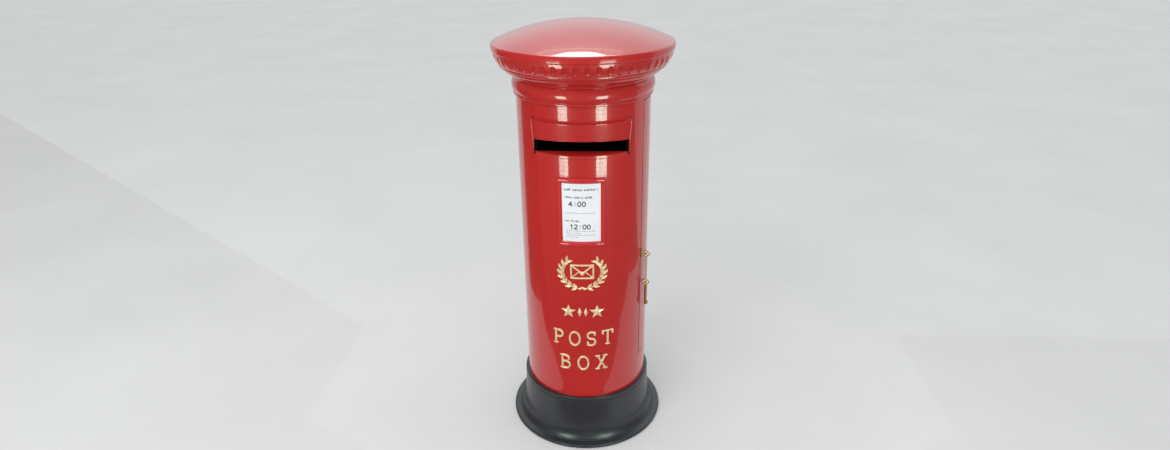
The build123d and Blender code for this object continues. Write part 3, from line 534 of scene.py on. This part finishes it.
def emblem_relief():
    """A sealed letter between two sprays of leaves."""
    lo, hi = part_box("emblem")
    field = Field(37.0, 27.0, RELIEF_CELL)
    w, h, up = 14.4, 9.6, 2.0
    spray_x, spray_y = 28.0, 23.4
    leaf_length, leaf_count, leaf_pitch, first_leaf = 8.6, 8, 17.0, -76

    def on_spray(side, turn):
        return side * spray_x * cos(radians(turn)), spray_y * sin(radians(turn))

    sheet = [(-w, up - h), (w, up - h), (w, up + h), (-w, up + h), (-w, up - h)]
    field.stroke(sheet, 1.25, 1.8)
    field.stroke([(-w, up + h), (0, up - 2.2), (w, up + h)], 1.15, 1.95)
    field.stroke([(-w, up - h), (-3.6, up + 0.4)], 0.75, 1.1)
    field.stroke([(w, up - h), (3.6, up + 0.4)], 0.75, 1.1)
    field.facets(star_corners(0, up - 2.6, 8, 3.6, 2.9), 0.9, 1.95)
    for side in (-1, 1):
        field.stroke([on_spray(side, turn) for turn in range(-86, 46, 6)], 0.8, 1.4)
        for i in range(leaf_count):
            turn = first_leaf + i * leaf_pitch
            x, y = on_spray(side, turn)
            for lean in (-36, 34):
                a = radians(turn + 90 + lean)
                tip = (x + side * leaf_length * cos(a), y + leaf_length * sin(a))
                field.stroke([(x, y), tip], 1.95, 1.9, taper=True)
    field.stroke([(-4.6, -23.6), (0, -21.4), (4.6, -23.6)], 1.1, 1.7)
    field.stroke([(-2.6, -24.6), (0, -21.6), (2.6, -24.6)], 1.0, 1.5)
    half_drawn = 25.6 * MM
    piece = field.make("cast_emblem", (lo.z + hi.z) / 2, MATERIALS["gilt"], BODY_R,
                       squash=(hi.z - lo.z) / (2 * half_drawn))
    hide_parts("emblem")


# ------------------------------------------------------------------ rolled edge of the slot's hood
EDGE_HALF = radians(42.3)                   # half the hood's sweep round the body
EDGE_R = 0.55 * MM                          # the bead's own radius
HOOD_ARCH_R = 580.0 * MM                    # the lower edge's arch
LIP_DROP = 2.7 * MM                         # lip under the casting's top
CHEEK_RISE = 3.6 * MM                       # cheek's foot over the casting's lowest point
CHEEK_PROUD = 0.9 * MM
LOWER_RISE, LOWER_PROUD = 23.3 * MM, 1.7 * MM
SWEEP_STEPS, CHEEK_STEPS = 48, 12


def around(az, radius, z):
    """Point at an angle round from the front."""
    return Vector((radius * sin(az), -radius * cos(az), z))


def tube(name, path, radius, made, sides=10):
    """Round bead along a path near the body's surface."""
    points = []
    for i, spot in enumerate(path):
        ahead = (path[min(i + 1, len(path) - 1)] - path[max(i - 1, 0)]).normalized()
        side = ahead.cross(Vector((spot.x, spot.y, 0))).normalized()
        out = side.cross(ahead)
        for k in range(sides):
            turn = 2 * pi * k / sides
            points.append(spot + radius * (cos(turn) * out + sin(turn) * side))
    last = len(path) - 1
    faces = []
    for i in range(last):
        low, high = i * sides, (i + 1) * sides
        faces += [(low + k, low + (k + 1) % sides, high + (k + 1) % sides, high + k) for k in range(sides)]
    faces += [tuple(reversed(range(sides))), tuple(range(last * sides, (last + 1) * sides))]
    solid(name, points, faces, made, 60)


def hood_edges():
    """A bead round the hood's top and cheeks, and one along its lower edge."""
    lo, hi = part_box("aperture_frame")
    lip_r, foot_r, lower_r = -lo.y, BODY_R + CHEEK_PROUD, BODY_R + LOWER_PROUD
    lip_z, foot_z = hi.z - LIP_DROP, lo.z + CHEEK_RISE
    cheek_z = lip_z - 1.2 * MM
    sweep = [EDGE_HALF * (2 * i / SWEEP_STEPS - 1) for i in range(SWEEP_STEPS + 1)]
    climb = []
    for i in range(CHEEK_STEPS + 1):
        up = i / CHEEK_STEPS
        climb.append((foot_r + (lip_r - foot_r) * up, foot_z + (cheek_z - foot_z) * up))
    outline = [around(-EDGE_HALF, r, z) for r, z in climb]
    outline += [around(az * 0.995, lip_r, lip_z) for az in sweep]
    outline += [around(EDGE_HALF, r, z) for r, z in reversed(climb)]
    tube("hood_outline_bead", outline, EDGE_R, MATERIALS["red_enamel"])
    lower = []
    for az in sweep:
        x = lower_r * sin(az * 0.98)
        lower.append(around(az * 0.98, lower_r, lo.z + LOWER_RISE - x * x / (2 * HOOD_ARCH_R)))
    tube("hood_lower_bead", lower, EDGE_R, MATERIALS["red_enamel"])


# ------------------------------------------------------------------ notice frame and print
# In millimetres: the moulding's section as (inset from its outline, height over the body).
FRAME_PROFILE = ((0.0, -0.4), (0.0, 0.5), (0.25, 1.3), (0.75, 2.1), (1.5, 2.75), (2.5, 3.1), (3.5, 3.15),
                 (4.4, 2.9), (5.2, 2.35), (5.8, 1.65), (6.1, 1.15), (6.5, 1.0), (7.0, 0.95), (7.0, 0.56),
                 (5.4, 0.56), (5.4, -0.4))
CORNER_R = 3.2
CORNER_STEPS = 6
SIDE_STEPS = 20
FRAME_FACE = 1.2                            # height at which the frame's box gives its half width
CARD_MARGIN = 1.2                           # card hidden under the moulding, above and below
INK_CELL = 0.2
INK_TALL, INK_SUNK = 0.05, 0.02


def frame_loop(inset, half, z0, z1):
    """Rounded rectangle at an inset from the frame's outline, in millimetres."""
    r = max(0.3, CORNER_R - inset)
    w, lo, hi = half - inset, z0 + inset, z1 - inset
    loop = []
    corners = ((w - r, lo + r), (w - r, hi - r), (-w + r, hi - r), (-w + r, lo + r))
    for (cx, cz), start in zip(corners, (-90, 0, 90, 180)):
        loop += arc(cx, cz, r, start, 90, steps=CORNER_STEPS)
    full = []
    for (x0, y0), (x1, y1) in zip(loop, loop[1:] + loop[:1]):
        steps = SIDE_STEPS if abs(x1 - x0) + abs(y1 - y0) > 2 * CORNER_R else 1
        full += [(x0 + (x1 - x0) * i / steps, y0 + (y1 - y0) * i / steps) for i in range(steps)]
    return full


def notice_moulding():
    """Rounded moulding swept round the notice."""
    lo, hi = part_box("notice_frame")
    half = BODY_R / MM * np.arcsin(hi.x / (BODY_R + FRAME_FACE * MM))
    loops = [frame_loop(inset, half, lo.z / MM, hi.z / MM) for inset, _ in FRAME_PROFILE]
    n = len(loops[0])
    points = [wrapped(x * MM, z * MM, tall * MM, BODY_R)
              for loop, (_, tall) in zip(loops, FRAME_PROFILE) for x, z in loop]
    faces = []
    rings = len(loops)
    for k in range(rings):
        m = (k + 1) % rings
        for i in range(n):
            j = (i + 1) % n
            faces.append((k * n + i, k * n + j, m * n + j, m * n + i))
    piece = solid("notice_moulding", points, faces, MATERIALS["frame_enamel"], 40)
    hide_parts("notice_frame")


# Centre lines of the numerals, in millimetres round their middles.
DIGITS = {
    "0": [arc(0, 0, 1.75, 0, 360, 1.55, 24)],
    "1": [[(-1.0, 1.7), (0.3, 2.7), (0.3, -2.7)]],
    "2": [arc(0, 1.2, 1.55, 160, -190) + [(-1.7, -2.6), (1.8, -2.6)]],
    "4": [[(0.9, -2.7), (0.9, 2.7), (-1.9, -1.0), (2.0, -1.0)]],
    ":": [[(0, 1.1), (0, 1.3)], [(0, -1.5), (0, -1.3)]],
}


def notice_print():
    """Two times of day in large numerals between rows of small illegible print."""
    lo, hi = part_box("notice_card")
    window_lo, window_hi = lo.z / MM + CARD_MARGIN, hi.z / MM - CARD_MARGIN
    tall = window_hi - window_lo
    field = Field(24.0, tall / 2, INK_CELL)
    chance = Random(7)

    def level(part):
        """Height over the card's middle of a line that share of the way down."""
        return tall * (0.5 - part)

    def small_print(part, x0, x1, size, half):
        """Words of broken strokes from x0 to x1, of that letter size and stroke half width."""
        x = x0
        while x < x1:
            for _ in range(chance.randint(3, 8)):
                if x > x1:
                    break
                y = level(part)
                up = size * (0.5 if chance.random() < 0.35 else 0.28)
                field.stroke([(x, y - size * 0.28), (x, y + up)], half, INK_TALL, flat=True)
                if chance.random() < 0.6:
                    dy = size * chance.choice((-0.25, 0.0, 0.25))
                    bar = [(x, y + dy), (x + size * 0.36, y + dy)]
                    field.stroke(bar, half * 0.8, INK_TALL, flat=True)
                x += size * chance.uniform(0.50, 0.66)
            x += size * 0.55

    def numerals(text, part, x0, pitch):
        grown, half = 1.1, 0.66
        for i, sign in enumerate(text):
            for line in DIGITS[sign]:
                moved = [(x0 + i * pitch + x * grown, level(part) + y * grown) for x, y in line]
                field.stroke(moved, half, INK_TALL, flat=True)

    small_print(0.105, -20.5, 20.0, 3.1, 0.42)
    small_print(0.235, -20.0, 14.0, 2.8, 0.36)
    numerals("4:00", 0.345, -13.5, 5.6)
    small_print(0.503, -19.0, 18.0, 1.6, 0.17)
    small_print(0.640, -19.5, -2.0, 2.8, 0.36)
    numerals("12:00", 0.740, -12.5, 5.4)
    small_print(0.815, -19.0, 17.0, 1.5, 0.16)
    small_print(0.850, -19.0, 0.0, 1.5, 0.16)
    small_print(0.885, -18.0, 17.0, 1.5, 0.16)
    small_print(0.920, -19.0, -3.0, 1.5, 0.16)
    field.make("notice_print", (lo.z + hi.z) / 2, MATERIALS["ink"], -lo.y, sunk=INK_SUNK)


# ------------------------------------------------------------------ camera
def make_camera():
    """A camera that looks down at the object from just to the right of its front."""
    data = bpy.data.cameras.new("camera")
    data.lens = LENS
    data.sensor_width = SENSOR
    data.sensor_fit = "HORIZONTAL"
    data.clip_start = 0.02
    data.clip_end = 60.0
    camera = bpy.data.objects.new("camera", data)
    bpy.context.scene.collection.objects.link(camera)
    ahead = Vector((-sin(CAM_AZ) * cos(CAM_PITCH), cos(CAM_AZ) * cos(CAM_PITCH), -sin(CAM_PITCH)))
    level = Vector((cos(CAM_AZ), sin(CAM_AZ), 0))
    above = level.cross(ahead)
    right = level * cos(CAM_ROLL) + above * sin(CAM_ROLL)
    up = above * cos(CAM_ROLL) - level * sin(CAM_ROLL)
    turn = Matrix((right, up, -ahead)).transposed().to_4x4()
    turn.translation = (CAM_DISTANCE * sin(CAM_AZ), -CAM_DISTANCE * cos(CAM_AZ), CAM_HEIGHT)
    camera.matrix_world = turn
    bpy.context.scene.camera = camera


# ------------------------------------------------------------------ stage and light
def flat_sheet(name, corners, made):
    """One flat face of the stage."""
    mesh = bpy.data.meshes.new(name)
    mesh.from_pydata([Vector(c) for c in corners], [], [tuple(range(len(corners)))])
    sheet = bpy.data.objects.new(name, mesh)
    bpy.context.scene.collection.objects.link(sheet)
    return dress(sheet, made)


def floor():
    """Pale, faintly mottled floor."""
    made, s = material("pale_floor")
    where = s.place()
    tone = s.ramp(s.noise(where, 3.0, 5.0, 0.6), (0.3, (0.72, 0.725, 0.72, 1)),
                  (0.7, (0.77, 0.775, 0.77, 1)))
    s.surface({"Base Color": tone, "Roughness": 0.55, "Specular IOR Level": 0.25})
    half = STAGE_HALF
    flat_sheet("floor", [(-half, -half, 0), (half, -half, 0), (half, half, 0), (-half, half, 0)], made)


def glow(name, colour, strength):
    """A plain light-giving material."""
    made, s = material(name)
    s.shine(colour, strength)
    return made


def reflected_sheet(name, corners, made):
    """A sheet that only mirror-like surfaces see."""
    sheet = flat_sheet(name, corners, made)
    sheet.visible_camera = False
    sheet.visible_diffuse = False
    sheet.visible_shadow = False
    sheet.visible_transmission = False
    sheet.visible_volume_scatter = False


def dim_room():
    """The dim floor past the white table's edges, a hair above the floor and seen only in the enamel."""
    far, front, back, left, right = STAGE_HALF, TABLE_FRONT, TABLE_BACK, TABLE_LEFT, TABLE_RIGHT
    patches = {
        "dim_front": [(-far, -far), (far, -far), (far, front), (-far, front)],
        "dim_left": [(-far, front), (left, front), (left, back), (-far, 0.75 * far)],
        "dim_right": [(right, front), (far, front), (far, back), (right, back)],
        "dim_left_corner": [(left, front), (-0.22, front), (left, CORNER_CUT_Y)],
        "dim_right_corner": [(0.34, front), (right, front), (right, CORNER_CUT_Y)],
        "dim_centre": [(-0.11, front), (0.09, front), (0.085, -0.128), (-0.105, -0.128)],
    }
    dim = glow("dim_room", DIM_COLOUR, 1.0)
    dark = glow("dark_room", DARK_COLOUR, 1.0)
    above_floor = 1.0 * MM
    for name, corners in patches.items():
        spots = [(x, y, above_floor) for x, y in corners]
        reflected_sheet(name, spots, dark if "left" in name else dim)


def window_material():
    """Daylight through a slatted blind."""
    made, s = material("window_light")
    where = s.place()
    slats = s.add("ShaderNodeTexWave", {"Vector": where, "Scale": 36.0, "Distortion": 1.0, "Detail": 2.0},
                  bands_direction="Z").outputs["Fac"]
    patchy = s.noise(where, 16.0, 3.0)
    banded = s.maths("MULTIPLY", slats, SLAT_STRENGTH)
    s.shine(DAYLIGHT, s.maths("ADD", banded, s.maths("MULTIPLY", patchy, PATCH_STRENGTH)))
    return made


def windows():
    """Two low windows that stand in front on a circle round the object, seen only in the enamel."""
    daylight = window_material()
    for name, az0, az1, sill in (("window_left", -36.8, -22.6, 0.224), ("window_right", 21.3, 38.4, 0.223)):
        corners = ((az0, sill), (az1, sill), (az1, WINDOW_TOP), (az0, WINDOW_TOP))
        reflected_sheet(name, [around(radians(az), WINDOW_R, z) for az, z in corners], daylight)


def ceiling_lamp():
    """A lamp over and behind the object, with a faint bowed rim, seen only in the enamel."""
    left, right, back = -0.31, 0.24, 0.25
    corners = [(left, 0.393, 1.250), (right, 0.388, 1.275), (right, back, 1.37), (left, back, 1.35)]
    reflected_sheet("ceiling_lamp", corners, glow("lamp_light", (1.0, 0.97, 0.94, 1), LAMP_STRENGTH))
    near_x, near_y, near_bend = -0.13, 0.457, 0.155
    top_x, top_z, top_bend = -0.02, 1.2645, 0.66
    rim_y, rim_z = 0.014, 0.008
    bow = []
    for i in range(RIM_STEPS + 1):
        x = RIM_LEFT + (RIM_RIGHT - RIM_LEFT) * i / RIM_STEPS
        bow.append((x, near_y + near_bend * (x - near_x) ** 2, top_z - top_bend * (x - top_x) ** 2))
    inner = [(x, y - rim_y, z + rim_z) for x, y, z in reversed(bow)]
    reflected_sheet("lamp_rim", bow + inner, glow("lamp_rim_light", (1.0, 0.95, 0.92, 1), RIM_STRENGTH))


def area(name, place, target, size, power):
    """A soft lamp that lights matt surfaces and isn't mirrored in the enamel."""
    data = bpy.data.lights.new(name, "AREA")
    data.shape = "RECTANGLE"
    data.size, data.size_y = size
    data.energy = power
    lamp = bpy.data.objects.new(name, data)
    lamp.location = place
    aim = Vector(target) - Vector(place)
    lamp.rotation_mode = "QUATERNION"
    lamp.rotation_quaternion = aim.to_track_quat("-Z", "Y")
    lamp.visible_camera = False
    lamp.visible_glossy = False
    bpy.context.scene.collection.objects.link(lamp)


def studio():
    """Even pale light for matt surfaces; in reflections, a white room behind and above, dim in front."""
    world = bpy.data.worlds.new("studio")
    bpy.context.scene.world = world
    s = Shader(world)
    toward = s.add("ShaderNodeTexCoord").outputs["Generated"]
    axes = s.add("ShaderNodeSeparateXYZ", {"Vector": toward})

    def halved(value):
        """From -1..1 to 0..1."""
        return s.maths("ADD", s.maths("MULTIPLY", value, 0.5), 0.5)

    leftwards = s.ramp(halved(axes.outputs["X"]), (0.22, 0.42), (0.40, 0.0))
    depth = s.maths("SUBTRACT", axes.outputs["Y"], leftwards)
    behind = s.ramp(halved(depth), (0.58, 0.0), (0.64, 1.0))
    above = s.ramp(axes.outputs["Z"], (0.80, 0.0), (0.97, 1.0))
    wall = s.ramp(axes.outputs["Z"], (0.02, (0.60, 0.61, 0.62, 1)), (0.35, (0.98, 1.02, 1.05, 1)),
                  (0.75, (1.22, 1.25, 1.28, 1)))
    room = s.mix(s.maths("MAXIMUM", behind, above), DIM_WALL, wall)
    path = s.add("ShaderNodeLightPath")
    seen = s.mix(path.outputs["Is Glossy Ray"], AMBIENT, room)
    seen = s.mix(path.outputs["Is Camera Ray"], seen, BACKDROP)
    sky = s.add("ShaderNodeBackground", {"Color": seen, "Strength": 1.0})
    s.add("ShaderNodeOutputWorld", {"Surface": sky.outputs["Background"]})
    area("soft_key", (-0.9, -1.5, 1.7), (0, 0, 0.25), (1.4, 1.4), 16.0)
    area("window_fill", (0.15, -1.7, 0.62), (0, 0, 0.35), (1.3, 0.7), 4.0)


# ------------------------------------------------------------------ make everything
view = bpy.context.scene.view_settings
view.view_transform = "Standard"

make_camera()
for node_name, slot_name in slot_of_node().items():
    dress(NODES[node_name], MATERIALS[OWN_LOOK.get(node_name, slot_name)])
letter_row("upper_lettering", "POST", POST_PITCH, "cast_upper_row")
letter_row("lower_lettering", "BOX", BOX_PITCH, "cast_lower_row")
stars()
emblem_relief()
hood_edges()
notice_moulding()
notice_print()
floor()
dim_room()
windows()
ceiling_lamp()
studio()
